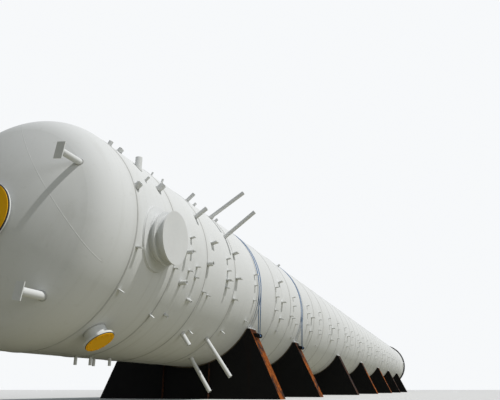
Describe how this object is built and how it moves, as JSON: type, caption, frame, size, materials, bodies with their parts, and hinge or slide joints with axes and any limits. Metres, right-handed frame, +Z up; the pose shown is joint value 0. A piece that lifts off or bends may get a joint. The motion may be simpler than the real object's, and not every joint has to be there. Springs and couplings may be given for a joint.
{
  "type": "distillation column scale model",
  "caption": "Tall process column lying on transport saddles: dished heads, welded courses, skirt with base ring, lifting trunnions and covered nozzles, at 1:10.",
  "frame": {"origin": "on the deck, under the middle of the column's length and width", "axes": "+X along the column from the top head to the skirt, +Z up"},
  "size_m": [9.7522, 0.88, 0.8379],
  "materials": {
    "white_paint": "satin white paint, dusty",
    "cover_paint": "yellow-orange paint",
    "dark_steel": "dull black paint",
    "rusty_steel": "rust over dull black paint",
    "base_steel": "dull dark primer",
    "packing": "sawn timber",
    "strap": "woven webbing"
  },
  "bodies": {
    "root": {"top_head": "white_paint", "overhead_nozzle": "white_paint", "overhead_cover": "cover_paint", "head_nozzles": "white_paint", "shell_1": "white_paint", "shell_2": "white_paint", "shell_3": "white_paint", "shell_4": "white_paint", "shell_5": "white_paint", "shell_6": "white_paint", "shell_7": "white_paint", "shell_8": "white_paint", "trunnion_pads": "white_paint", "trunnion_pipes": "white_paint", "trunnion_rings": "white_paint", "keeper_plates": "white_paint", "side_nozzle": "white_paint", "side_nozzle_cover": "cover_paint", "long_pipes": "white_paint", "clips": "white_paint", "top_stubs": "white_paint", "bottom_head": "white_paint", "bottom_nozzle": "white_paint", "skirt_top": "white_paint", "skirt_near": "white_paint", "skirt_bottom": "white_paint", "skirt_far": "white_paint", "access_sleeves": "white_paint", "base_plate": "base_steel", "bolt_chairs": "base_steel", "saddle_1": "rusty_steel", "saddle_2": "rusty_steel", "saddle_3": "dark_steel", "saddle_4": "dark_steel", "saddle_5": "dark_steel", "saddle_6": "dark_steel", "saddle_7": "dark_steel", "packing_strips": "packing", "lashing_straps": "strap", "lashing_ears": "dark_steel"}
  },
  "joints": []
}
